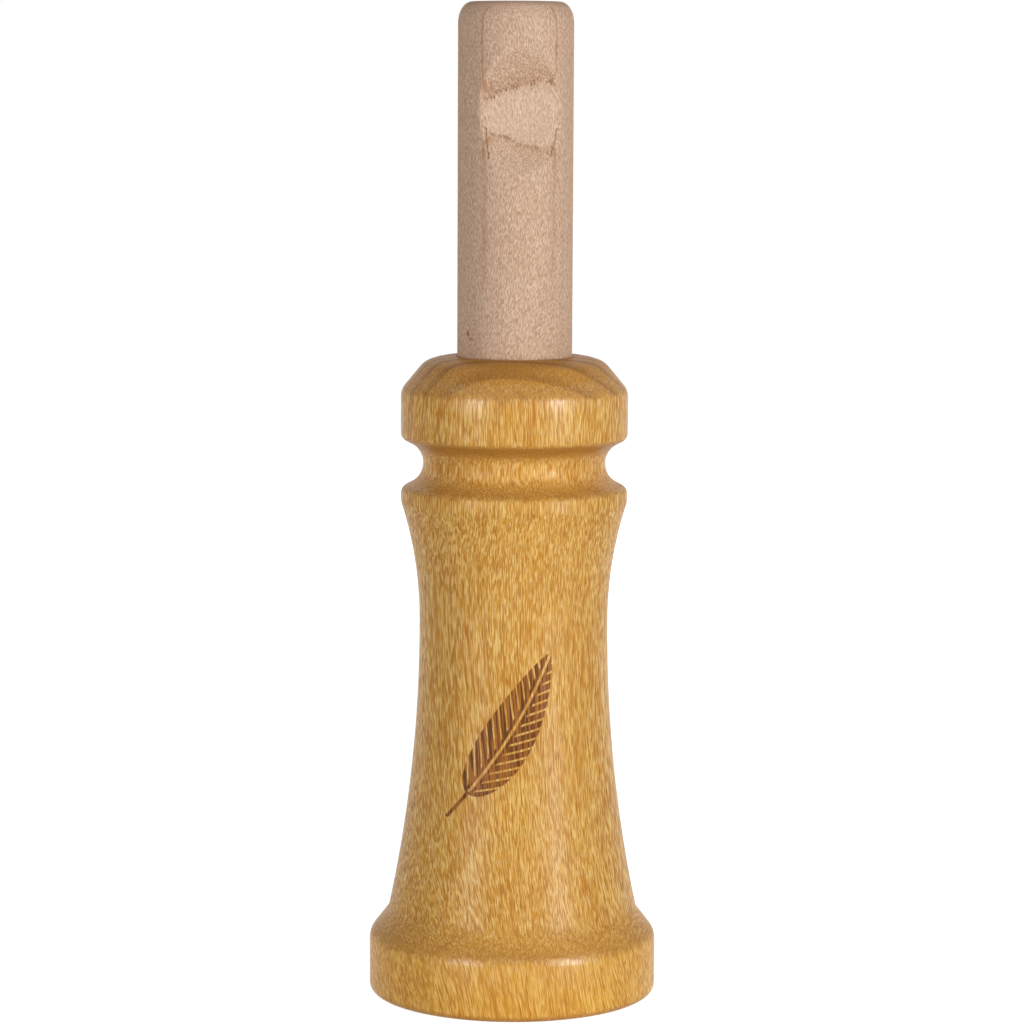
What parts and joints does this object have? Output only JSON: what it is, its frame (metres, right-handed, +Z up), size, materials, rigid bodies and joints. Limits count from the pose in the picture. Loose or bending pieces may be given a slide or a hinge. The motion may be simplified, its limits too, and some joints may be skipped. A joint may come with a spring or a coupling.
{
  "type": "bird call",
  "caption": "Turned wooden bird call: a waisted barrel with a belled bore and a lanyard cove, and a split dowel mouthpiece with a clamped reed that turns and pulls out.",
  "frame": {"origin": "middle of the base, on the plane that the call stands on", "axes": "+Z up the call's axis from the bell to the mouth end, +Y towards the back, so -Y is the side with the lip notch"},
  "size_m": [0.0398, 0.0398, 0.1371],
  "materials": {
    "barrel_wood": "satin lacquer over fine-grained golden brown wood",
    "mouthpiece_wood": "raw sanded maple dowel, matte",
    "reed_plastic": "translucent plastic film",
    "wedge_cork": "cork",
    "peg_wood": "plain",
    "ring_rubber": "matte"
  },
  "bodies": {
    "barrel": {"barrel": "barrel_wood"},
    "rings": {"upper_o_ring": "ring_rubber", "lower_o_ring": "ring_rubber"},
    "insert": {"tone_board": "mouthpiece_wood", "lip_cap": "mouthpiece_wood", "reed_wedge": "wedge_cork", "locating_pegs": "peg_wood"},
    "reed": {"reed": "reed_plastic"}
  },
  "joints": [
    {"name": "insert_slide", "type": "slide", "parent": "barrel", "child": "rings", "axis": [0, 0, 1], "range_m": [0, 0.03]},
    {"name": "insert_turn", "type": "hinge", "parent": "rings", "child": "insert", "pos_m": [0, 0, 0.0735], "axis": [0, 0, 1], "continuous": true},
    {"name": "reed_flex", "type": "hinge", "parent": "insert", "child": "reed", "pos_m": [0, -0.00028, 0.089], "axis": [1, 0, 0], "range_deg": [-2, 2], "stiffness_Nm_per_rad": 0.01}
  ]
}
